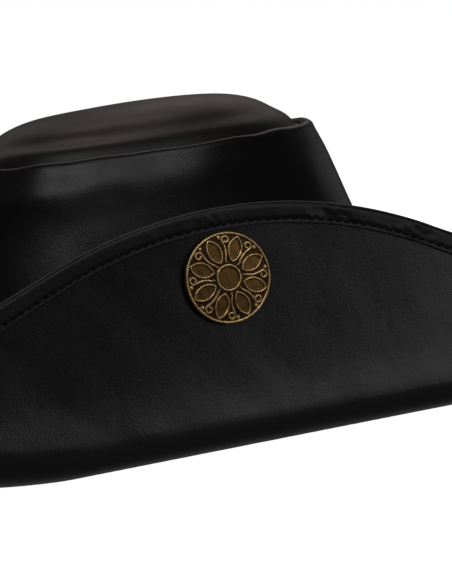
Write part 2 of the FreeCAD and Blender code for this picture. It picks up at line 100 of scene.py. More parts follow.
# edge
WIRE_OUTSET = 1.05
BINDING_LEATHER = 0.9
BINDING_GAP = 0.05
BINDING_WIDTH = 4.5
BINDING_STITCH_LINE = 3.0
BINDING_PITCH = 3.3
# inside
LAYER_GAP = 0.1
SWEATBAND_LEATHER = 1.0
SWEATBAND_BOTTOM = 0.6
SWEATBAND_HEIGHT = 34.0
SWEATBAND_STITCH_LINE = 5.0
TAB_BOTTOM, TAB_TOP = 9.0, 31.0
TAB_HALF_ANGLE = math.radians(3.6)
# thread
THREAD_RADIUS = 0.3
EDGE_THREAD_RADIUS = 0.38
EDGE_THREAD_SINK = 0.08
CROWN_PITCH, BACK_SEAM_PITCH, SWEATBAND_PITCH = 3.2, 3.0, 3.4
BACK_SEAM_BOTTOM = 12.0
BACK_SEAM_ROW_ANGLE = math.radians(2.0)
ROW_END_GAP = 0.004
STITCH_SHARE = 0.66
STITCH_SIDES = 8
STITCH_RINGS = 7
# points round each ring of leather
CROWN_COLUMNS, TIP_COLUMNS, BRIM_COLUMNS, BINDING_COLUMNS, BAND_COLUMNS = 460, 400, 760, 1740, 420


# ---------------- shape of the hat

def eased(share):
    """A smooth step from 0 to 1."""
    share = np.clip(share, 0.0, 1.0)
    return share * share * (3.0 - 2.0 * share)


def bell(distance, width):
    return np.exp(-((distance / width) ** 2))


def oval_radius(angle, half_length, half_width):
    return half_length * half_width / np.hypot(half_length * np.sin(angle), half_width * np.cos(angle))


def crown_axes(height):
    rise = height / CROWN_HEIGHT
    share = CROWN_BASE_LEAN * rise + (1.0 - CROWN_BASE_LEAN) * rise * rise
    half_length = CROWN_HALF_LENGTH - (CROWN_HALF_LENGTH - TIP_HALF_LENGTH) * share
    half_width = CROWN_HALF_WIDTH - (CROWN_HALF_WIDTH - TIP_HALF_WIDTH) * share
    return half_length, half_width


def oval_points(angle, half_length, half_width, height):
    angle, half_length, half_width, height = np.broadcast_arrays(angle, half_length, half_width, height)
    return np.stack([half_width * np.sin(angle), -half_length * np.cos(angle), height], -1)


def crown_wall(angle, height):
    return oval_points(angle, *crown_axes(height), height)


def crown_side_face(angle, along):
    """0 to 1 up the wall, 1 to 2 round the lip, 2 to 3 down the seam allowance."""
    base = BRIM_LEATHER + 4.0 * LAYER_GAP
    height = base + (CROWN_HEIGHT - base) * np.minimum(along, 1.0)
    half_length, half_width = crown_axes(height)
    turn = LIP_START + (math.pi - LIP_START) * np.clip(along - 1.0, 0.0, 1.0)
    inset = LIP_RADIUS * (math.cos(LIP_START) - np.cos(turn))
    height = height + LIP_RADIUS * (np.sin(turn) - math.sin(LIP_START))
    height = height - SEAM_ALLOWANCE * np.maximum(along - 2.0, 0.0)
    return oval_points(angle, half_length - inset, half_width - inset, height)


def tip_face(angle, along):
    """0 to 1 from the middle to the shoulder, 1 to 2 round the turned edge, 2 to 3 down the allowance."""
    reach = LIP_RADIUS * (1.0 + math.cos(LIP_START)) + LAYER_GAP
    shoulder = np.minimum(along, 1.0)
    turn = np.clip(along - 1.0, 0.0, 1.0) * math.pi / 2.0
    inset = reach + LIP_RADIUS * (1.0 - np.sin(turn))
    half_length = (TIP_HALF_LENGTH - inset) * shoulder
    half_width = (TIP_HALF_WIDTH - inset) * shoulder
    height = CROWN_HEIGHT + TIP_DOME * (1.0 - np.abs(shoulder) ** TIP_DOME_POWER)
    height = height - LIP_RADIUS * (1.0 - np.cos(turn)) - SEAM_ALLOWANCE * np.maximum(along - 2.0, 0.0)
    return oval_points(angle, half_length, half_width, height)


def roll(beyond):
    """Outward reach and height of the leather at a length beyond a fold's chord."""
    rolled = ROLL_RADIUS * ROLL_TURN
    turn = np.clip(beyond, 0.0, rolled) / ROLL_RADIUS
    reach = np.minimum(beyond, 0.0) + ROLL_RADIUS * np.sin(turn)
    height = ROLL_RADIUS * (1.0 - np.cos(turn))
    settle = FLAP_SETTLE / (ROLL_TURN - FLAP_TURN)
    flap_turn = ROLL_TURN - np.maximum(beyond - rolled, 0.0) / settle
    reach = reach + settle * (math.sin(ROLL_TURN) - np.sin(flap_turn))
    height = height + settle * (np.cos(flap_turn) - math.cos(ROLL_TURN))
    return reach, height


def soft_roll(beyond):
    """The same fold with the larger radius that the leather takes away from its edge.

    It starts early and ends late by one length, and its small miss at the end is spread along it."""
    early = (SOFT_ROLL_RADIUS - ROLL_RADIUS) * math.tan(ROLL_TURN / 2.0)
    rolled = ROLL_RADIUS * ROLL_TURN
    share = np.clip((beyond + early) / (rolled + 2.0 * early), 0.0, 1.0)
    turn = ROLL_TURN * share
    rolling = (beyond > -early) & (beyond < rolled + early)
    reach, height = roll(beyond)
    end_reach, end_height = roll(rolled + early)
    end_reach = end_reach + early - SOFT_ROLL_RADIUS * math.sin(ROLL_TURN)
    end_height = end_height - SOFT_ROLL_RADIUS * (1.0 - math.cos(ROLL_TURN))
    soft_reach = SOFT_ROLL_RADIUS * np.sin(turn) - early + share * end_reach
    soft_height = SOFT_ROLL_RADIUS * (1.0 - np.cos(turn)) + share * end_height
    return np.where(rolling, soft_reach, reach), np.where(rolling, soft_height, height)


def folds_at(angle):
    """Direction and chord distance of the fold that each angle belongs to."""
    back_distance = FOLD_DISTANCE * math.cos(math.pi - CORNER_ANGLE) / math.cos(CORNER_ANGLE - FOLD_ANGLE)
    side = np.abs(angle) <= CORNER_ANGLE
    direction = np.where(side, FOLD_ANGLE, math.pi) * np.where(angle < 0.0, -1.0, 1.0)
    return direction, np.where(side, FOLD_DISTANCE, back_distance)


def brim_leaf(angle, flat_radius):
    """Middle of the brim, from the angle and radius on the disc before it is folded."""
    direction, distance = folds_at(angle)
    along = flat_radius * np.sin(angle - direction)
    beyond = flat_radius * np.cos(angle - direction) - distance
    soft = eased((edge_radius(angle, 0.0) - flat_radius - SOFT_FROM_EDGE) / SOFT_OVER)
    reach, height = roll(beyond)
    soft_reach, soft_height = soft_roll(beyond)
    outward = distance + reach + soft * (soft_reach - reach)
    height = height + soft * (soft_height - height)
    lift = np.maximum(np.hypot(outward, along) - LIFT_START, 0.0) / (DISC_RADIUS + DISC_SHIFT - LIFT_START)
    height = height + BRIM_LEATHER / 2.0 + CORNER_LIFT * lift ** 1.5
    across = outward * np.sin(direction) + along * np.cos(direction)
    back = along * np.sin(direction) - outward * np.cos(direction)
    return np.stack([across, back, height], -1)


def edge_radius(angle, inset):
    disc = DISC_RADIUS - inset
    return DISC_SHIFT * np.cos(angle) + np.sqrt(disc * disc - (DISC_SHIFT * np.sin(angle)) ** 2)


def near_edge(angle, inset):
    return brim_leaf(angle, edge_radius(angle, inset))


def leaf_radius(angle, along):
    """Radius on the flat disc, 2 to 3 from the foot of the collar out to the cut edge."""
    middle = BRIM_LEATHER / 2.0
    inset = CROWN_LEATHER + COLLAR_GAP + middle
    start = oval_radius(angle, *crown_axes(middle + COLLAR_BEND)) - inset + COLLAR_BEND
    return start + (edge_radius(angle, 0.0) - start) * np.maximum(along - 2.0, 0.0)


def brim_section(angle, along):
    """0 to 1 down the collar, 1 to 2 round its bend, 2 to 3 out to the cut edge."""
    middle = BRIM_LEATHER / 2.0
    foot = middle + COLLAR_BEND
    inset = CROWN_LEATHER + COLLAR_GAP + middle
    height = COLLAR_HEIGHT + (foot - COLLAR_HEIGHT) * np.minimum(along, 1.0)
    radius = oval_radius(angle, *crown_axes(height)) - inset
    turn = np.clip(along - 1.0, 0.0, 1.0) * math.pi / 2.0
    radius = radius + COLLAR_BEND * (1.0 - np.cos(turn))
    height = height - COLLAR_BEND * np.sin(turn)
    collar = np.stack([radius * np.sin(angle), -radius * np.cos(angle), height], -1)
    leaf = brim_leaf(angle, leaf_radius(angle, along))
    return np.where((along > 2.0)[..., None], leaf, collar)


def sweatband_face(angle, height):
    inset = CROWN_LEATHER + COLLAR_GAP + BRIM_LEATHER + LAYER_GAP
    radius = oval_radius(angle, *crown_axes(height)) - inset
    return np.stack([radius * np.sin(angle), -radius * np.cos(angle), height + 0.0 * angle], -1)


# ---------------- points and meshes

def unit(vectors):
    return vectors / np.maximum(np.linalg.norm(vectors, axis=-1, keepdims=True), 1e-12)


def normals_of(face, angle, along, step=1e-4):
    tangent = face(angle + step, along) - face(angle - step, along)
    rise = face(angle, along + step) - face(angle, along - step)
    return unit(np.cross(tangent, rise))


def waves(points, wavelength, seed, count=14):
    """A smooth random field of about unit height, the same every run."""
    random = np.random.default_rng(SEED + seed)
    directions = unit(random.normal(size=(count, 3)))
    lengths = wavelength * random.uniform(0.7, 1.6, count)
    phases = random.uniform(0.0, 2.0 * math.pi, count)
    field = np.zeros(points.shape[:-1])
    for direction, length, phase in zip(directions, lengths, phases):
        field = field + np.sin(points @ direction * 2.0 * math.pi / length + phase)
    return field * math.sqrt(2.0 / count)


def grid_faces(rows, columns, wrap_rows, wrap_columns):
    """Quads between the points of a grid, closed round in either direction or not."""
    row = np.arange(rows if wrap_rows else rows - 1)
    column = np.arange(columns if wrap_columns else columns - 1)
    row, column = np.meshgrid(row, column, indexing="ij")
    next_row, next_column = (row + 1) % rows, (column + 1) % columns
    corners = [row * columns + column, next_row * columns + column,
               next_row * columns + next_column, row * columns + next_column]
    return np.stack(corners, -1).reshape(-1, 4)


def add_mesh(name, points, faces, materials, face_materials=None, wear=None):
    """A smooth mesh of quads from points in millimetres."""
    mesh = bpy.data.meshes.new(name)
    points = np.asarray(points, float).reshape(-1, 3) * MM
    mesh.vertices.add(len(points))
    mesh.vertices.foreach_set("co", points.ravel())
    mesh.loops.add(faces.size)
    mesh.loops.foreach_set("vertex_index", faces.ravel())
    mesh.polygons.add(len(faces))
    mesh.polygons.foreach_set("loop_start", np.arange(len(faces)) * 4)
    mesh.polygons.foreach_set("loop_total", np.full(len(faces), 4))
    mesh.polygons.foreach_set("use_smooth", np.ones(len(faces), bool))
    if face_materials is not None:
        mesh.polygons.foreach_set("material_index", face_materials)
    if wear is not None:
        rubbed = mesh.attributes.new("wear", "FLOAT", "POINT")
        rubbed.data.foreach_set("value", np.asarray(wear, np.float32).ravel())
    for material in materials:
        mesh.materials.append(material)
    mesh.update(calc_edges=True)
    mesh.validate()
    piece = bpy.data.objects.new(name, mesh)
    bpy.context.scene.collection.objects.link(piece)
    return piece


def outward_quads(points, faces):
    """The faces, turned over if the closed surface they make is inside out."""
    corners = points.reshape(-1, 3)[faces]
    first = np.einsum("ij,ij->i", corners[:, 0], np.cross(corners[:, 1], corners[:, 2]))
    second = np.einsum("ij,ij->i", corners[:, 0], np.cross(corners[:, 2], corners[:, 3]))
    return faces if (first + second).sum() > 0 else faces[:, ::-1]


def layer(name, face, angles, alongs, low, high, materials, closed=True, relief=None, wear=None,
          soft_edge=0.3, facing=1.0):
    """A sheet of leather between two heights off a face: its high side, its low side and rounded edges.

    relief gives the extra height of both sides and wear the rubbed share, from points, angle and along.
    facing is -1 for a face whose angle and along turn its normal to the inside."""
    count = len(alongs)
    angle, along = np.meshgrid(angles, alongs, indexing="ij")
    middle = face(angle, along)
    normal = normals_of(face, angle, along) * facing
    thickness = high - low
    ease = np.zeros(count)
    ease[0] = ease[-1] = soft_edge
    bump = relief(middle, angle, along) if relief else np.zeros(angle.shape)
    upper = middle + normal * (high - ease * thickness + bump)[..., None]
    lower = middle + normal * (low + ease * thickness + bump)[..., None]
    points = np.concatenate([upper, lower[:, ::-1]], axis=1)
    faces = grid_faces(len(angles), 2 * count, closed, True)
    if not closed:
        caps = []
        for row in (0, len(angles) - 1):
            for index in range(count - 1):
                start = row * 2 * count
                quad = [start + index, start + index + 1,
                        start + 2 * count - 2 - index, start + 2 * count - 1 - index]
                caps.append(quad if row == 0 else quad[::-1])
        faces = np.concatenate([faces, np.array(caps)])
    faces = outward_quads(points, faces)
    flesh = (faces % (2 * count) >= count).all(axis=1).astype(np.int32)
    if len(materials) == 1:
        flesh[:] = 0
    rubbed = np.zeros(angle.shape) if wear is None else wear(middle, angle, along)
    rubbed = np.concatenate([rubbed, rubbed[:, ::-1]], axis=1)
    return add_mesh(name, points, faces, materials, flesh, rubbed)


def all_round(count):
    return np.linspace(-math.pi, math.pi, count, endpoint=False)


def all_round_open(count, half_gap):
    return np.linspace(-math.pi + half_gap, math.pi - half_gap, count)


def add_stitches(name, rows, pitch, material, radius=THREAD_RADIUS, seed=0):
    """Separate stitches along rows, each row a (points, normals) pair of arrays."""
    random = np.random.default_rng(SEED + seed)
    lengthwise = np.linspace(0.0, 1.0, STITCH_RINGS)
    around = np.linspace(0.0, 2.0 * math.pi, STITCH_SIDES, endpoint=False)
    tubes, faces = [], []
    tube_faces = grid_faces(STITCH_RINGS, STITCH_SIDES, False, True)
    for points, normals in rows:
        distance = np.concatenate([[0.0], np.cumsum(np.linalg.norm(np.diff(points, axis=0), axis=1))])
        count = int(distance[-1] // pitch)
        for index in range(count):
            slack = random.uniform(-0.05, 0.05, 3)
            start = (index + (1.0 - STITCH_SHARE) / 2.0 + slack[0]) * pitch
            spots = start + lengthwise * pitch * (STITCH_SHARE + slack[1])
            centre = np.stack([np.interp(spots, distance, points[:, k]) for k in range(3)], -1)
            up = unit(np.stack([np.interp(spots, distance, normals[:, k]) for k in range(3)], -1))
            arch = np.sin(lengthwise * math.pi) ** 0.6
            centre = centre + up * (radius * (1.25 * arch - 0.75 + slack[2]))[:, None]
            ahead = unit(np.gradient(centre, axis=0))
            side = unit(np.cross(ahead, up))
            over = np.cross(side, ahead)
            girth = radius * (0.72 + 0.28 * arch)
            ring = (side[:, None] * np.cos(around)[None, :, None] * 1.1
                    + over[:, None] * np.sin(around)[None, :, None]) * girth[:, None, None]
            faces.append(tube_faces + len(tubes) * STITCH_RINGS * STITCH_SIDES)
            tubes.append(centre[:, None] + ring)
    points = np.concatenate([tube.reshape(-1, 3) for tube in tubes])
    faces = np.concatenate(faces)
    piece = add_mesh(name, points, faces, [material])
    close_holes(piece.data)
    return piece


def close_holes(mesh, poke=False):
    """Fills every hole in a mesh with one face, or with a fan of triangles, and turns all faces outward."""
    work = bmesh.new()
    work.from_mesh(mesh)
    rims = [edge for edge in work.edges if edge.is_boundary]
    bmesh.ops.holes_fill(work, edges=rims, sides=0)
    if poke:
        bmesh.ops.poke(work, faces=[face for face in work.faces if len(face.verts) > 4])
    bmesh.ops.recalc_face_normals(work, faces=work.faces)
    for face in work.faces:
        face.smooth = True
    work.to_mesh(mesh)
    work.free()


# ---------------- materials

class Nodes:
    """A material's nodes, made and linked in short calls."""

    def __init__(self, name):
        self.material = bpy.data.materials.new(name)
        self.material.use_nodes = True
        self.tree = self.material.node_tree
        self.shader = self.tree.nodes["Principled BSDF"]
        self.place = self.add("ShaderNodeTexCoord").outputs["Object"]

    def add(self, kind, **values):
        node = self.tree.nodes.new(kind)
        for name, value in values.items():
            setattr(node, name, value)
        return node

    def link(self, source, target):
        self.tree.links.new(source, target)

    def noise(self, scale, detail=3.0, roughness=0.5, place=None):
        node = self.add("ShaderNodeTexNoise")
        node.inputs["Scale"].default_value = scale
        node.inputs["Detail"].default_value = detail
        node.inputs["Roughness"].default_value = roughness
        self.link(place or self.place, node.inputs["Vector"])
        return node.outputs["Fac"]

    def cells(self, scale, feature="DISTANCE_TO_EDGE", place=None):
        node = self.add("ShaderNodeTexVoronoi", feature=feature)
        node.inputs["Scale"].default_value = scale
        self.link(place or self.place, node.inputs["Vector"])
        return node.outputs["Distance"]

    def ramp(self, value, low, high, out_low=0.0, out_high=1.0):
        node = self.add("ShaderNodeMapRange", interpolation_type="SMOOTHSTEP")
        numbers = {"From Min": low, "From Max": high, "To Min": out_low, "To Max": out_high}
        for name, number in numbers.items():
            node.inputs[name].default_value = number
        self.link(value, node.inputs["Value"])
        return node.outputs["Result"]

    def math(self, operation, one, other):
        node = self.add("ShaderNodeMath", operation=operation)
        for index, value in enumerate((one, other)):
            if isinstance(value, (int, float)):
                node.inputs[index].default_value = value
            else:
                self.link(value, node.inputs[index])
        return node.outputs[0]

    def mix(self, share, one, other):
        node = self.add("ShaderNodeMix", data_type="RGBA")
        self.link(share, node.inputs["Factor"])
        for name, value in (("A", one), ("B", other)):
            socket = next(s for s in node.inputs if s.name == name and s.type == "RGBA")
            if isinstance(value, tuple):
                socket.default_value = (*value, 1.0)
            else:
                self.link(value, socket)
        return next(s for s in node.outputs if s.type == "RGBA")

    def attribute(self, name):
        return self.add("ShaderNodeAttribute", attribute_name=name).outputs["Fac"]

    def bump(self, height, distance, strength=1.0, after=None):
        node = self.add("ShaderNodeBump")
        node.inputs["Distance"].default_value = distance
        node.inputs["Strength"].default_value = strength
        self.link(height, node.inputs["Height"])
        if after:
            self.link(after, node.inputs["Normal"])
        return node.outputs["Normal"]

    def finish(self, color, roughness, normal, **values):
        self.link(color, self.shader.inputs["Base Color"])
        self.link(roughness, self.shader.inputs["Roughness"])
        self.link(normal, self.shader.inputs["Normal"])
        for name, value in values.items():
            self.shader.inputs[name.replace("_", " ")].default_value = value
        return self.material


def grain_leather(name, dark, light, smooth, rough, grain=900.0, depth=0.000042, shine=0.42):
    """Dyed full-grain leather: pebbles under a semi-matte finish, with hair pores and rubbed places."""
    nodes = Nodes(name)
    cloud = nodes.ramp(nodes.noise(28.0, 4.0), 0.2, 0.8)
    wear = nodes.attribute("wear")
    color = nodes.mix(cloud, dark, light)
    rubbed = nodes.math("MULTIPLY", wear, nodes.ramp(nodes.noise(420.0, 4.0, 0.6), 0.35, 0.7))
    color = nodes.mix(rubbed, color, tuple(2.4 * channel for channel in light))
    patches = nodes.ramp(nodes.noise(60.0, 5.0, 0.6), 0.15, 0.85, smooth, rough)
    roughness = nodes.math("SUBTRACT", patches, nodes.math("MULTIPLY", wear, 0.08))
    pebbles = nodes.ramp(nodes.cells(grain), 0.0, 0.45)
    fine = nodes.noise(grain * 2.3, 3.0, 0.6)
    pores = nodes.ramp(nodes.cells(grain * 1.7, "F1"), 0.02, 0.16)
    height = nodes.math("ADD", nodes.math("MULTIPLY", pebbles, 0.55), nodes.math("MULTIPLY", fine, 0.35))
    height = nodes.math("ADD", height, nodes.math("MULTIPLY", pores, 0.2))
    soft = nodes.bump(nodes.noise(95.0, 3.0), 0.00035, 0.35)
    normal = nodes.bump(height, depth, 0.7, soft)
    return nodes.finish(color, roughness, normal, Specular_IOR_Level=shine)


def flesh_leather(name, dark, light):
    """The fibrous flesh side of leather: matte, napped and mottled."""
    nodes = Nodes(name)
    mottle = nodes.ramp(nodes.noise(55.0, 6.0, 0.65), 0.3, 0.72)
    color = nodes.mix(mottle, dark, light)
    roughness = nodes.ramp(nodes.noise(200.0, 4.0), 0.3, 0.7, 0.78, 0.95)
    fibres = nodes.math("ADD", nodes.noise(1500.0, 5.0, 0.7), nodes.noise(420.0, 3.0, 0.6))
    normal = nodes.bump(fibres, 0.00016, 0.8)
    return nodes.finish(color, roughness, normal, Specular_IOR_Level=0.25, Sheen_Weight=0.25)


def twisted_thread(name, dark, light):
    """Waxed thread of twisted plies."""
    nodes = Nodes(name)
    wave = nodes.add("ShaderNodeTexWave", bands_direction="DIAGONAL")
    wave.inputs["Scale"].default_value = 900.0
    wave.inputs["Distortion"].default_value = 1.2
    nodes.link(nodes.place, wave.inputs["Vector"])
    color = nodes.mix(wave.outputs["Fac"], dark, light)
    roughness = nodes.ramp(nodes.noise(800.0), 0.3, 0.7, 0.66, 0.86)
    normal = nodes.bump(wave.outputs["Fac"], 0.00010, 0.8)
    return nodes.finish(color, roughness, normal, Specular_IOR_Level=0.22)


def antique_brass(name):
    """Cast brass with a dark patina left in its recesses and bright rubbed ridges."""
    nodes = Nodes(name)
    relief = nodes.attribute("wear")
    blotch = nodes.noise(900.0, 5.0, 0.65)
    level = nodes.math("ADD", relief, nodes.math("MULTIPLY", nodes.math("SUBTRACT", blotch, 0.5), 0.35))
    low = nodes.mix(nodes.ramp(level, 0.02, 0.3), (0.055, 0.031, 0.015), (0.20, 0.108, 0.034))
    color = nodes.mix(nodes.ramp(level, 0.45, 0.95), low, (0.80, 0.54, 0.24))
    roughness = nodes.ramp(level, 0.15, 0.9, 0.46, 0.27)
    pits = nodes.math("ADD", nodes.noise(2600.0, 4.0, 0.6), nodes.noise(700.0, 3.0))
    normal = nodes.bump(pits, 0.00004, 0.7)
    return nodes.finish(color, roughness, normal, Metallic=0.92)


def plain_metal(name, dark, light, smooth, rough, scratch=2200.0):
    """Turned or drawn metal: fine scratches, tarnish in patches."""
    nodes = Nodes(name)
    tarnish = nodes.ramp(nodes.noise(260.0, 5.0, 0.6), 0.35, 0.7)
    color = nodes.mix(tarnish, light, dark)
    roughness = nodes.ramp(nodes.noise(900.0, 4.0), 0.3, 0.7, smooth, rough)
    normal = nodes.bump(nodes.noise(scratch, 4.0, 0.7), 0.00002, 0.6)
    return nodes.finish(color, roughness, normal, Metallic=1.0)


BLACK, SOFT_BLACK = (0.0050, 0.0046, 0.0046), (0.0086, 0.0078, 0.0078)
# The tip's blacks are lighter and browner than the crown's: painted light for the light that falls on the
# tip's upturned top.
TIP_LIT_BLACK, TIP_LIT_SOFT_BLACK = (0.0088, 0.0066, 0.0060), (0.0140, 0.0108, 0.0098)
BINDING_BLACK, BINDING_SOFT_BLACK = (0.0046, 0.0044, 0.0044), (0.0082, 0.0078, 0.0078)
BAND_DARK, BAND_LIGHT = (0.030, 0.020, 0.013), (0.062, 0.042, 0.027)

crown_grain = grain_leather("crown_leather", BLACK, SOFT_BLACK, 0.30, 0.38)
# The tip's leather is a lighter, browner copy of the crown's black leather: painted light on the tip's top.
lit_tip_grain = grain_leather("tip_leather", TIP_LIT_BLACK, TIP_LIT_SOFT_BLACK, 0.38, 0.46)
brim_grain = grain_leather("brim_leather", BLACK, SOFT_BLACK, 0.26, 0.33, depth=0.000034)
binding_grain = grain_leather("binding_leather", BINDING_BLACK, BINDING_SOFT_BLACK, 0.34, 0.44,
                              grain=1100.0, shine=0.34)
band_grain = grain_leather("sweatband_leather", BAND_DARK, BAND_LIGHT, 0.42, 0.6, grain=1300.0)
flesh = flesh_leather("flesh_side", (0.030, 0.026, 0.023), (0.075, 0.064, 0.055))
stay_flesh = flesh_leather("stay_leather", (0.045, 0.034, 0.026), (0.11, 0.083, 0.062))
thread = twisted_thread("black_thread", (0.0015, 0.0015, 0.0016), (0.0060, 0.0058, 0.0060))
brass = antique_brass("antique_brass")
screw_brass = plain_metal("screw_brass", (0.22, 0.13, 0.05), (0.62, 0.43, 0.20), 0.28, 0.45)
steel = plain_metal("edge_wire_steel", (0.18, 0.17, 0.16), (0.52, 0.52, 0.53), 0.25, 0.42)
sleeve = plain_metal("joiner_sleeve", (0.33, 0.33, 0.34), (0.70, 0.70, 0.71), 0.30, 0.5)


def place(piece, body, slot, *nodes):
    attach(piece, body)
    if nodes:
        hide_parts(*nodes)
    return piece


# ---------------- crown

SHOULDER_ANGLE = math.radians(-2.0)
SHOULDER, SHOULDER_HEIGHT, SHOULDER_WIDTH = 1.2, 0.905, 0.062
ROLL_ANGLE = math.radians(12.0)


def crown_relief(points, angle, along):
    """Slow swells in the wall, a fuller shoulder under the front of the lip and a slightly uneven lip."""
    wall = np.clip(1.0 - np.abs(along - 0.5) / 0.55, 0.0, 1.0)
    swell = 0.18 * waves(points, 110.0, 1) * wall + 0.05 * waves(points, 30.0, 2) * (along < 1.6)
    front = 0.35 + 0.65 * bell(angle - SHOULDER_ANGLE, 0.75)
    shoulder = SHOULDER * bell(along - SHOULDER_HEIGHT, SHOULDER_WIDTH) * front
    shoulder = shoulder - 0.3 * SHOULDER * bell(along - SHOULDER_HEIGHT + 0.17, 0.10) * front
    lip = 0.22 * waves(points, 19.0, 3) * bell(along - 1.35, 0.5)
    return swell + shoulder + lip - 0.25 * bell(along - 1.5, 0.4)


def crown_wear(points, angle, along):
    return 0.05 * bell(along - 1.35, 0.35) * np.clip(0.55 + 0.5 * waves(points, 22.0, 5), 0.0, 1.0)


def tip_relief(points, angle, along):
    """A soft roll just above the seam, fullest at the front left, with a hollow behind it."""
    full = 0.40 + 0.70 * bell(angle - ROLL_ANGLE, 0.65) + 0.10 * waves(points, 45.0, 17)
    roll_up = 1.25 * bell(along - 0.95, 0.045) - 0.5 * bell(along - 0.86, 0.05)
    slack = 0.18 * waves(points, 60.0, 6) * np.clip(1.2 - along, 0.0, 1.0)
    faded = np.where(along > 1.0, np.clip(2.0 - along, 0.0, 1.0), 1.0)
    return roll_up * full * faded + slack


def tip_wear(points, angle, along):
    return 0.12 * bell(along - 0.9, 0.12) * np.clip(0.4 + 0.5 * waves(points, 25.0, 7), 0.0, 1.0)


def build_crown():
    wall = np.linspace(0.0, 1.0, 70)
    lip = np.linspace(1.0, 2.0, 15)[1:]
    allowance = np.linspace(2.0, 3.0, 4)[1:]
    alongs = np.concatenate([wall, lip, allowance])
    angles = all_round_open(CROWN_COLUMNS, BACK_SEAM_HALF_GAP)
    side = layer("crown_side_leather", crown_side_face, angles, alongs, -CROWN_LEATHER, 0.0,
                 [crown_grain, flesh], closed=False, relief=crown_relief, wear=crown_wear)
    place(side, HAT, "crown_leather", "crown_side")

    dome = 1.0 - (1.0 - np.linspace(0.004, 1.0, 64)) ** 1.25
    edge = np.linspace(1.0, 2.0, 9)[1:]
    alongs = np.concatenate([dome, edge, allowance])
    tip = layer("crown_tip_leather", tip_face, all_round(TIP_COLUMNS), alongs, -CROWN_LEATHER, 0.0,
                [lit_tip_grain, flesh], relief=tip_relief, wear=tip_wear, soft_edge=0.0, facing=-1.0)
    close_centre(tip, TIP_COLUMNS, len(alongs))
    place(tip, HAT, "crown_leather", "crown_tip")


def close_centre(piece, angle_count, along_count):
    """Draws each side of a dome's innermost ring together into its middle and drops the faces between."""
    work = bmesh.new()
    work.from_mesh(piece.data)
    work.verts.ensure_lookup_table()
    row_length = 2 * along_count
    outer = [work.verts[row * row_length] for row in range(angle_count)]
    inner = [work.verts[row * row_length + row_length - 1] for row in range(angle_count)]
    outer_faces = {face for vert in outer for face in vert.link_faces}
    between = outer_faces & {face for vert in inner for face in vert.link_faces}
    bmesh.ops.delete(work, geom=list(between), context="FACES_ONLY")
    for rim in (outer, inner):
        middle = sum((vert.co for vert in rim), Vector()) / len(rim)
        bmesh.ops.pointmerge(work, verts=rim, merge_co=middle)
    bmesh.ops.recalc_face_normals(work, faces=work.faces)
    work.to_mesh(piece.data)
    work.free()


# ---------------- brim

FULLNESS, FULL_START, FULL_AT, FULL_WIDTH = 1.4, 0.5, 10.0, 13.0
FULL_FROM_EDGE, FULL_OVER = 5.0, 12.0
FULL_FROM_CORNER = 0.35
GROUND_CLEARANCE = 3.0


def brim_relief(points, angle, along):
    """The flaps' slow waviness, and leather left fuller just above the side folds."""
    out = np.maximum(along - 2.0, 0.0)
    wavy = (0.22 * waves(points, 95.0, 8) + 0.03 * waves(points, 24.0, 9)) * np.minimum(out * 4.0, 1.0)
    direction, distance = folds_at(angle)
    radius = leaf_radius(angle, along)
    beyond = radius * np.cos(angle - direction) - distance
    full = eased((beyond - FULL_START) / (FULL_AT - FULL_START))
    full = full * bell(np.maximum(beyond - FULL_AT, 0.0), FULL_WIDTH)
    full = full * eased((CORNER_ANGLE - np.abs(angle)) / FULL_FROM_CORNER)
    full = full * eased((edge_radius(angle, 0.0) - radius - FULL_FROM_EDGE) / FULL_OVER)
    off_ground = np.clip((points[..., 2] - BRIM_LEATHER / 2.0) / GROUND_CLEARANCE, 0.0, 1.0)
    return (wavy + FULLNESS * full) * off_ground


def brim_wear(points, angle, along):
    direction, distance = folds_at(angle)
    outward = points[..., 0] * np.sin(direction) - points[..., 1] * np.cos(direction)
    roll_share = bell(outward - distance - 5.0, 5.0) * (points[..., 2] < 9.0) * (along > 2.0)
    return 0.22 * roll_share * np.clip(0.4 + 0.6 * waves(points, 16.0, 10), 0.0, 1.0)


def build_brim():
    alongs = np.concatenate([np.linspace(0.0, 1.0, 4), np.linspace(1.0, 2.0, 6)[1:],
                             2.0 + np.linspace(0.0, 1.0, 52)[1:]])
    half = BRIM_LEATHER / 2.0
    brim = layer("brim_leather", brim_section, all_round(BRIM_COLUMNS), alongs, -half, half, [brim_grain],
                 relief=brim_relief, wear=brim_wear)
    place(brim, HAT, "brim_leather", "brim")


# ---------------- binding and threads

PUCKER_ANGLE = math.radians(88.0)
DIMPLE_WIDTH = 0.7


def stitch_dimples(position, row_distance, pitch):
    """A pressed line under a row of stitches, deepest at the holes between them."""
    holes = 0.5 + 0.5 * np.cos(position / pitch * 2.0 * math.pi)
    return -bell(row_distance, DIMPLE_WIDTH) * (0.12 + 0.20 * holes ** 3)


def puckers(points, normal, angle):
    """Short creases across the binding, gathered where the edge turns down to the back corners."""
    gathered = 0.10 + bell(np.abs(angle) - PUCKER_ANGLE, 0.42)
    cluster = np.clip(0.55 + 0.55 * waves(points, 30.0, 12), 0.0, 1.2)
    creases = waves(points + normal * 2.0, 3.6, 11) + 0.7 * waves(points, 7.0, 18)
    return 0.085 * creases * cluster * gathered


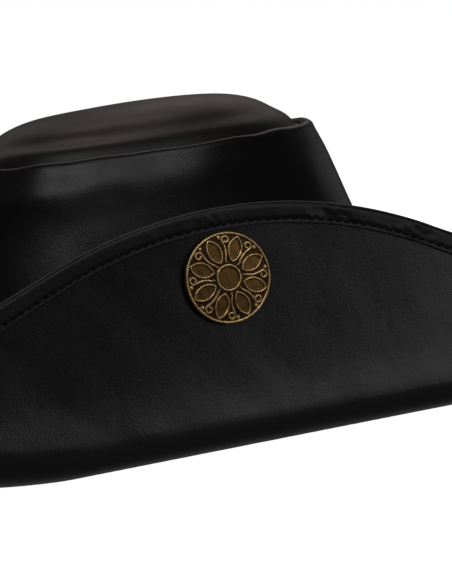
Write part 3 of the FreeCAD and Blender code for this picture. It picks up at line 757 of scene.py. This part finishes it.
def binding_spots():
    """The binding's U section, as (inset, height) spots round its outer and inner sides.

    The outer side has spots closest together under the stitches."""
    inner = BRIM_LEATHER / 2.0 + BINDING_GAP
    outer = inner + BINDING_LEATHER
    arms = [4.3, 4.0, 3.7, 3.4, 3.15, 2.9, 2.65, 2.35, 2.0, 1.6, 1.15, 0.65, 0.1, -0.45]
    turns = np.linspace(math.pi / 2.0, -math.pi / 2.0, 13)
    bend = [(-WIRE_OUTSET - outer * math.cos(turn), outer * math.sin(turn)) for turn in turns]
    inner_bend = [(-WIRE_OUTSET - inner * math.cos(turn), inner * math.sin(turn)) for turn in turns[::2]]
    raw = BINDING_LEATHER * 0.28
    outside = [(BINDING_WIDTH, outer - raw), (BINDING_WIDTH - 0.2, outer)]
    outside += [(arm, outer) for arm in arms]
    outside += bend
    outside += [(arm, -outer) for arm in arms[::-1]]
    outside += [(BINDING_WIDTH - 0.2, -outer), (BINDING_WIDTH, raw - outer)]
    inside = [(BINDING_WIDTH, -inner), (2.0, -inner)]
    inside += inner_bend[::-1]
    inside += [(2.0, inner), (BINDING_WIDTH, inner)]
    return np.array(outside), np.array(inside)


def build_binding():
    angles = all_round(BINDING_COLUMNS)
    outside, inside = binding_spots()
    edge_line = near_edge(angles, BINDING_STITCH_LINE)
    gaps = np.linalg.norm(np.diff(edge_line, axis=0, append=edge_line[:1]), axis=1)
    position = np.concatenate([[0.0], np.cumsum(gaps)[:-1]])
    sections = []
    for spots, visible in ((outside, True), (inside, False)):
        angle, inset = np.meshgrid(angles, spots[:, 0], indexing="ij")
        height = np.broadcast_to(spots[:, 1], angle.shape)
        middle = near_edge(angle, inset)
        normal = normals_of(near_edge, angle, inset, 1e-4)
        side = np.sign(height)
        along = np.broadcast_to(position[:, None], angle.shape)
        relief = np.zeros(angle.shape)
        if visible:
            arm = np.clip((inset + 0.4) / 2.0, 0.0, 1.0)
            relief = stitch_dimples(along, inset - BINDING_STITCH_LINE, BINDING_PITCH) * arm
            relief = relief + puckers(middle, normal * height[..., None], angle)
            relief = np.clip(relief + 0.05 * waves(middle, 16.0, 13), -0.36, 0.3)
        raised = middle + normal * (height + side * relief)[..., None]
        sections.append(raised)
    points = np.concatenate(sections, axis=1)
    columns = points.shape[1]
    faces = outward_quads(points, grid_faces(BINDING_COLUMNS, columns, True, True))
    wear_row = np.concatenate([0.3 * bell(outside[:, 0] + 2.5, 1.6), np.zeros(len(inside))])
    wear = wear_row[None, :] * np.clip(0.45 + 0.6 * waves(points, 18.0, 14), 0.0, 1.0)
    binding = add_mesh("brim_binding_leather", points, faces, [binding_grain], wear=wear)
    place(binding, HAT, "binding_leather", "brim_binding")


def edge_row(inset, height, count=1600):
    """Points and normals for a stitch row along the brim's edge, above it or below it."""
    angles = np.linspace(-math.pi, math.pi, count)
    normals = normals_of(near_edge, angles, np.full(count, inset))
    points = near_edge(angles, np.full(count, inset)) + normals * height
    return points, normals * math.copysign(1.0, height)


def wall_row(face, along, height, count=900):
    """Points and normals for a stitch row round a wall, open at the back."""
    angles = np.linspace(ROW_END_GAP - math.pi, math.pi - ROW_END_GAP, count)
    normals = normals_of(face, angles, np.full(count, along))
    points = face(angles, np.full(count, along)) + normals * height
    return points, normals * (math.copysign(1.0, height) if height else 1.0)


def build_threads():
    face_height = BRIM_LEATHER / 2.0 + BINDING_GAP + BINDING_LEATHER
    rows = [edge_row(BINDING_STITCH_LINE, face_height - EDGE_THREAD_SINK),
            edge_row(BINDING_STITCH_LINE, -face_height + EDGE_THREAD_SINK)]
    edge = add_stitches("binding_stitches", rows, BINDING_PITCH, thread, radius=EDGE_THREAD_RADIUS, seed=21)
    place(edge, HAT, "thread", "binding_thread")
    rows = [wall_row(crown_wall, COLLAR_HEIGHT / 2.0, 0.0)]
    base = add_stitches("crown_base_stitches", rows, CROWN_PITCH, thread, seed=22)
    place(base, HAT, "thread", "crown_base_thread")

    rows = []
    for side in (-1.0, 1.0):
        heights = np.linspace(BACK_SEAM_BOTTOM, CROWN_HEIGHT - LIP_RADIUS, 200)
        angles = np.full(200, side * (math.pi - BACK_SEAM_ROW_ANGLE))
        rows.append((crown_wall(angles, heights), normals_of(crown_wall, angles, heights)))
    back = add_stitches("crown_back_stitches", rows, BACK_SEAM_PITCH, thread, seed=23)
    place(back, HAT, "thread", "crown_back_seam_thread")

    rows = [wall_row(sweatband_face, SWEATBAND_STITCH_LINE, -SWEATBAND_LEATHER)]
    band = add_stitches("sweatband_stitches", rows, SWEATBAND_PITCH, thread, seed=24)
    place(band, HAT, "thread", "sweatband_thread")
    rows = [wall_row(tip_face, 2.5, -CROWN_LEATHER)]
    inside = add_stitches("crown_tip_stitches", rows, CROWN_PITCH, thread, seed=25)
    place(inside, HAT, "thread", "crown_tip_thread")


# ---------------- inside trim

def band_relief(points, angle, along):
    """The sweatband's slight waviness, growing from its stitches to its free edge."""
    return 0.12 * waves(points, 30.0, 15) * np.clip((along - 12.0) / 20.0, 0.0, 1.0)


def build_inside():
    heights = np.concatenate([[SWEATBAND_BOTTOM, SWEATBAND_BOTTOM + 0.4], np.linspace(2.0, 33.4, 22),
                              [SWEATBAND_HEIGHT]])
    angles = all_round_open(BAND_COLUMNS, BACK_SEAM_HALF_GAP)
    band = layer("sweatband_leather", sweatband_face, angles, heights, -SWEATBAND_LEATHER, 0.0,
                 [band_grain], closed=False, relief=band_relief)
    place(band, HAT, "sweatband_leather", "sweatband")

    high = -SWEATBAND_LEATHER - LAYER_GAP / 2.0
    angles = np.linspace(math.pi - TAB_HALF_ANGLE, math.pi + TAB_HALF_ANGLE, 24)
    heights = np.linspace(TAB_BOTTOM, TAB_TOP, 30)
    tab = layer("sweatband_tab_leather", sweatband_face, angles, heights, high - SWEATBAND_LEATHER, high,
                [band_grain], closed=False)
    place(tab, HAT, "sweatband_leather", "sweatband_join_tab")

    high = -CROWN_LEATHER - LAYER_GAP
    angles = np.linspace(math.pi - STAY_HALF_ANGLE, math.pi + STAY_HALF_ANGLE, 30)
    heights = np.linspace(STAY_BOTTOM, CROWN_HEIGHT - 2.0 * SEAM_ALLOWANCE, 60)
    stay = layer("crown_back_stay_leather", crown_wall, angles, heights, high - STAY_LEATHER, high,
                 [stay_flesh], closed=False)
    place(stay, HAT, "lining_leather", "crown_back_stay")


# ---------------- conchos

CONCHO_RADIUS = 15.8
CONCHO_SEAT = 0.65
POST_RADIUS, POST_LENGTH, BORE_RADIUS = 2.7, 2.1, 1.65
PETAL_START = math.radians(67.2)
RELIEF_HEIGHT = 0.62
RELIEF_RINGS = 120
RELIEF_SPOKES = 560
# the pattern, in shares of the ornament's radius
PETAL_CENTRE, PETAL_HALF_LENGTH, PETAL_HALF_WIDTH = 0.637, 0.272, 0.150
RIDGE = 0.026
HOOK_X, HOOK_Y, HOOK_RADIUS = 0.822, -0.050, 0.082
RING_RADIUS, RIM_RADIUS = 0.272, 0.966


def stroke_distance(x, y, stroke):
    """Distance from points to a polyline."""
    best = np.full(x.shape, 9.0)
    for (ax, ay), (bx, by) in zip(stroke, stroke[1:]):
        dx, dy = bx - ax, by - ay
        share = np.clip(((x - ax) * dx + (y - ay) * dy) / (dx * dx + dy * dy), 0.0, 1.0)
        best = np.minimum(best, np.hypot(x - ax - share * dx, y - ay - share * dy))
    return best


def petal_depth(x, y):
    """Signed distance to a petal's outline, negative inside it."""
    radius = (PETAL_HALF_LENGTH ** 2 + PETAL_HALF_WIDTH ** 2) / (2.0 * PETAL_HALF_WIDTH)
    sink = radius - PETAL_HALF_WIDTH
    arcs = np.hypot(x - PETAL_CENTRE, np.abs(y) + sink) - radius
    tips = np.hypot(np.abs(x - PETAL_CENTRE) - PETAL_HALF_LENGTH, y)
    beyond = (np.abs(x - PETAL_CENTRE) > PETAL_HALF_LENGTH) & (arcs > 0.0)
    return np.where(beyond, tips, arcs)


def bead(distance, width):
    return np.sqrt(np.clip(1.0 - (distance / width) ** 2, 0.0, 1.0))


def scroll_stroke():
    """A stem that rises between two petals and hooks round at its end, in the gap's own axes."""
    stem = [(0.405, 0.014), (0.47, -0.004), (0.55, -0.016), (0.64, -0.012), (0.71, 0.004), (0.765, 0.022)]
    turns = np.radians(np.linspace(120.0, -215.0, 26))
    shrink = np.linspace(1.06, 0.62, 26)
    hook = [(HOOK_X + HOOK_RADIUS * share * math.cos(turn), HOOK_Y + HOOK_RADIUS * share * math.sin(turn))
            for turn, share in zip(turns, shrink)]
    return stem + hook


def concho_relief(radius, angle):
    """Height of the ornament in millimetres above its back, and how rubbed each point is, from 0 to 1."""
    quarter = np.mod(angle, math.pi / 2.0)
    folded = np.minimum(quarter, math.pi / 2.0 - quarter)
    dome = 1.15 + 0.75 * (1.0 - radius ** 2)
    petals = np.full(radius.shape, 9.0)
    for petal_angle in (0.0, math.pi / 4.0):
        turned = folded - petal_angle
        petals = np.minimum(petals, petal_depth(radius * np.cos(turned), radius * np.sin(turned)))
    gap = folded - math.pi / 8.0
    x, y = radius * np.cos(gap), radius * np.sin(gap)
    scroll = stroke_distance(x, y, scroll_stroke())
    spur = stroke_distance(x, y, [(0.74, 0.012), (0.80, 0.040), (0.835, 0.060)])
    outer_dot = np.hypot(x - 0.885, y - 0.098)
    inner_dot = np.hypot(x - 0.352, y - 0.010)
    parts = [
        bead(petals, RIDGE * 1.08),
        0.92 * bead(scroll, RIDGE * 1.25),
        0.75 * bead(spur, RIDGE * 0.75),
        1.05 * bead(outer_dot, 0.055),
        0.90 * bead(inner_dot, 0.034),
        1.05 * bead(radius - RING_RADIUS, 0.032),
        1.15 * bead(radius - RIM_RADIUS, 0.034),
    ]
    proud = np.max(parts, axis=0)
    milled = 0.10 * np.sin(150.0 * angle + 90.0 * radius) * bell(radius - 0.985, 0.014)
    pan = np.clip(-petals / 0.05, 0.0, 1.0) + np.clip((0.245 - radius) / 0.03, 0.0, 1.0)
    ground = dome - 0.10 * np.clip(pan, 0.0, 1.0)
    tilt = 0.05 * waves(np.stack([x, y, 0.0 * x], -1) * CONCHO_RADIUS, 3.0, 16)
    worn = 0.05 + np.clip(proud, 0.0, 1.0) ** 1.5 + 0.22 * np.clip(pan, 0.0, 1.0)
    return ground + RELIEF_HEIGHT * proud + milled + tilt * 0.4, np.clip(worn, 0.0, 1.0)


def concho_mesh():
    """A turned disc whose front carries the relief; it has a rim, a flat back and a bored post."""
    ring = np.linspace(0.0, 1.0, RELIEF_RINGS + 1)[1:]
    spoke = np.linspace(0.0, 2.0 * math.pi, RELIEF_SPOKES, endpoint=False)
    angle, radius = np.meshgrid(spoke, ring, indexing="ij")
    height, worn = concho_relief(radius, angle)
    radius = radius * CONCHO_RADIUS
    # radius, height and rubbed share, from the rim over the flat back, down the post and up its bore
    back_profile = [
        (CONCHO_RADIUS, 0.85, 0.7),
        (CONCHO_RADIUS - 0.05, 0.35, 0.5),
        (CONCHO_RADIUS - 0.5, 0.0, 0.3),
        (CONCHO_RADIUS - 1.2, 0.0, 0.1),
        (POST_RADIUS + 0.2, 0.0, 0.05),
        (POST_RADIUS, -0.15, 0.1),
        (POST_RADIUS, 0.15 - POST_LENGTH, 0.3),
        (POST_RADIUS - 0.15, -POST_LENGTH, 0.4),
        (BORE_RADIUS + 0.15, -POST_LENGTH, 0.3),
        (BORE_RADIUS, 0.15 - POST_LENGTH, 0.1),
        (BORE_RADIUS, 0.4, 0.0),
    ]
    for reach, level, rub in back_profile:
        radius = np.concatenate([radius, np.full((RELIEF_SPOKES, 1), reach)], axis=1)
        height = np.concatenate([height, np.full((RELIEF_SPOKES, 1), level)], axis=1)
        worn = np.concatenate([worn, np.full((RELIEF_SPOKES, 1), rub)], axis=1)
    angle = np.broadcast_to(spoke[:, None], radius.shape)
    points = np.stack([radius * np.cos(angle), radius * np.sin(angle), height], -1)
    columns = points.shape[1]
    faces = grid_faces(RELIEF_SPOKES, columns, True, False)
    piece = add_mesh("concho_pattern", points, faces, [brass], wear=worn)
    mesh = piece.data
    close_holes(mesh, poke=True)
    bpy.data.objects.remove(piece)
    return mesh


def build_conchos():
    pattern = concho_mesh()
    for joint in frame["joints"]:
        name = joint["name"].split("_")[0]
        facing = Vector(joint["axis"]).normalized()
        level = Vector((-facing.y, facing.x, 0.0)).normalized()
        up = facing.cross(level)
        turn = Matrix((level, up, facing)).transposed().to_4x4()
        turn = turn @ Matrix.Rotation(PETAL_START, 4, "Z")
        seat = Vector(joint["pos_m"]) + facing * CONCHO_SEAT * MM
        piece = bpy.data.objects.new("concho_%s_relief" % name, pattern.copy())
        bpy.context.scene.collection.objects.link(piece)
        piece.data.transform(Matrix.Translation(seat) @ turn)
        place(piece, joint["child"], "concho_brass", "concho_" + name)


def dress_node(name, material):
    node = frame["nodes"][name]
    node.data.materials.clear()
    node.data.materials.append(material)


def dress_frame():
    for side in ("left", "right", "back"):
        dress_node("concho_screw_" + side, screw_brass)
    dress_node("brim_edge_wire", steel)
    dress_node("wire_joiner", sleeve)


# ---------------- studio

WHITE = (1.0, 1.0, 1.0)
WARM = (1.0, 0.85, 0.83)
SURROUND = 0.026
BOUNCE = 0.11
FLOOR_HALF, BOUNCE_HALF, BOUNCE_LEVEL = 6.0, 0.20, -0.001
LIGHT_TARGET = Vector((0.0, 0.0, 0.06))


def glowing_material(name, blotches, dark, light, glow):
    """A matte sheet of the set that gives off its own even light."""
    nodes = Nodes(name)
    tone = nodes.mix(nodes.noise(blotches, 2.0), (dark,) * 3, (light,) * 3)
    rough = nodes.ramp(nodes.noise(5.0), 0.3, 0.7, 0.85, 0.95)
    normal = nodes.bump(nodes.noise(300.0), 0.0001, 0.1)
    return nodes.finish(tone, rough, normal, Specular_IOR_Level=0.1, Emission_Color=(*WHITE, 1.0),
                        Emission_Strength=glow)


def stage_sheet(name, size, level, material):
    """A square sheet of the set, level with the ground, that lights nothing by diffuse rays."""
    corners = [(-size, -size, level), (size, -size, level), (size, size, level), (-size, size, level)]
    sheet = add_mesh(name, np.array(corners) / MM, np.array([[0, 1, 2, 3]]), [material])
    sheet.visible_diffuse = False
    return sheet


def build_floor():
    """A white floor for the camera, and a dim sheet in its place for what the leather reflects."""
    material = glowing_material("studio_floor", 3.0, 0.83, 0.86, 1.0)
    floor = stage_sheet("studio_floor", FLOOR_HALF, 0.0, material)
    floor.visible_glossy = False

    material = glowing_material("bounce_sheet", 5.0, 0.02, 0.03, BOUNCE)
    sheet = stage_sheet("bounce_sheet", BOUNCE_HALF, BOUNCE_LEVEL, material)
    sheet.visible_camera = False


def direction_to(azimuth, elevation):
    """Unit vector towards a place at so many degrees round from the front and up."""
    turn, rise = math.radians(azimuth), math.radians(elevation)
    return Vector((math.sin(turn) * math.cos(rise), -math.cos(turn) * math.cos(rise), math.sin(rise)))


def add_softbox(name, azimuth, elevation, distance, width, height, power, color=WHITE):
    light = bpy.data.lights.new(name, "AREA")
    light.shape = "RECTANGLE"
    light.size = width
    light.size_y = height
    light.energy = power
    light.color = color
    lamp = bpy.data.objects.new(name, light)
    direction = direction_to(azimuth, elevation)
    lamp.location = LIGHT_TARGET + direction * distance
    lamp.rotation_euler = direction.to_track_quat("Z", "Y").to_euler()
    lamp.visible_camera = False
    bpy.context.scene.collection.objects.link(lamp)
    return lamp


def build_world():
    """A white surround for the camera; everything else sees an even dim one."""
    world = bpy.data.worlds.new("studio")
    bpy.context.scene.world = world
    world.use_nodes = True
    tree = world.node_tree
    tree.nodes.clear()
    output = tree.nodes.new("ShaderNodeOutputWorld")
    choose = tree.nodes.new("ShaderNodeMixShader")
    path = tree.nodes.new("ShaderNodeLightPath")
    tree.links.new(path.outputs["Is Camera Ray"], choose.inputs["Fac"])
    for socket, strength in ((1, SURROUND), (2, 1.0)):
        background = tree.nodes.new("ShaderNodeBackground")
        background.inputs["Color"].default_value = (*WHITE, 1.0)
        background.inputs["Strength"].default_value = strength
        tree.links.new(background.outputs[0], choose.inputs[socket])
    tree.links.new(choose.outputs[0], output.inputs["Surface"])


def keep_off(lamp, *pieces):
    """Flags a light off some pieces, as a black card beside the lamp does."""
    lit = bpy.data.collections.new(lamp.name + "_lit")
    for piece in bpy.context.scene.objects:
        if piece.type == "MESH" and piece.name not in pieces:
            lit.objects.link(piece)
    lamp.light_linking.receiver_collection = lit


def build_lights():
    """Two low boxes beside the flap, kept off the crown, a row in front, and boxes overhead and behind.

    Each box has its azimuth and elevation in degrees, its distance, width and height in metres, and watts."""
    crown = ("crown_side_leather", "crown_tip_leather")
    keep_off(add_softbox("side_key_box", 91.0, 17.0, 1.4, 0.36, 0.20, 0.62), *crown)
    keep_off(add_softbox("side_low_box", 97.0, 3.0, 1.4, 0.34, 0.18, 0.58), *crown)
    add_softbox("front_left_box", 5.0, 46.0, 1.4, 0.60, 0.30, 1.8)
    add_softbox("front_box", 45.0, 46.0, 1.4, 0.60, 0.30, 1.3)
    add_softbox("front_right_box", 85.0, 45.0, 1.4, 0.60, 0.32, 1.6)
    add_softbox("front_low_box", 38.0, 10.0, 1.6, 0.70, 0.25, 0.6)
    add_softbox("top_back_box", 221.0, 62.0, 1.4, 0.80, 0.50, 1.6, WARM)
    add_softbox("back_box", 205.0, 28.0, 1.6, 0.90, 0.70, 0.85, WARM)
    add_softbox("back_low_box", 186.0, 6.0, 1.6, 0.50, 0.25, 0.08)
    add_softbox("back_left_box", 245.0, 30.0, 1.4, 0.80, 0.45, 0.42, WARM)


# where the camera stands, in degrees and metres, its lens, and its aim off the hat's middle in millimetres
CAMERA_AZIMUTH, CAMERA_ELEVATION, CAMERA_ROLL = 40.71, 5.16, 7.88
CAMERA_DISTANCE = 1.16
LENS, SENSOR = 192.8, 36.0
LOOK_HEIGHT = 0.0506
AIM_RIGHT, AIM_UP = 27.35, -1.7


def build_camera():
    data = bpy.data.cameras.new("camera")
    data.sensor_width = SENSOR
    data.lens = LENS
    camera = bpy.data.objects.new("camera", data)
    bpy.context.scene.collection.objects.link(camera)
    turn = math.radians(CAMERA_AZIMUTH)
    back = direction_to(CAMERA_AZIMUTH, CAMERA_ELEVATION)
    level_right = Vector((math.cos(turn), math.sin(turn), 0.0))
    level_up = back.cross(level_right)
    roll_angle = math.radians(CAMERA_ROLL)
    right = level_right * math.cos(roll_angle) - level_up * math.sin(roll_angle)
    up = level_right * math.sin(roll_angle) + level_up * math.cos(roll_angle)
    look = Vector((0.0, 0.0, LOOK_HEIGHT))
    place_at = look + back * CAMERA_DISTANCE
    aim = look + right * AIM_RIGHT * MM + up * AIM_UP * MM
    backward = (place_at - aim).normalized()
    side = up.cross(backward).normalized()
    top = backward.cross(side)
    camera.matrix_world = Matrix.Translation(place_at) @ Matrix((side, top, backward)).transposed().to_4x4()
    bpy.context.scene.camera = camera
    bpy.context.scene.view_settings.view_transform = "Standard"


build_camera()
build_crown()
build_brim()
build_binding()
build_threads()
build_inside()
build_conchos()
dress_frame()
build_floor()
build_world()
build_lights()
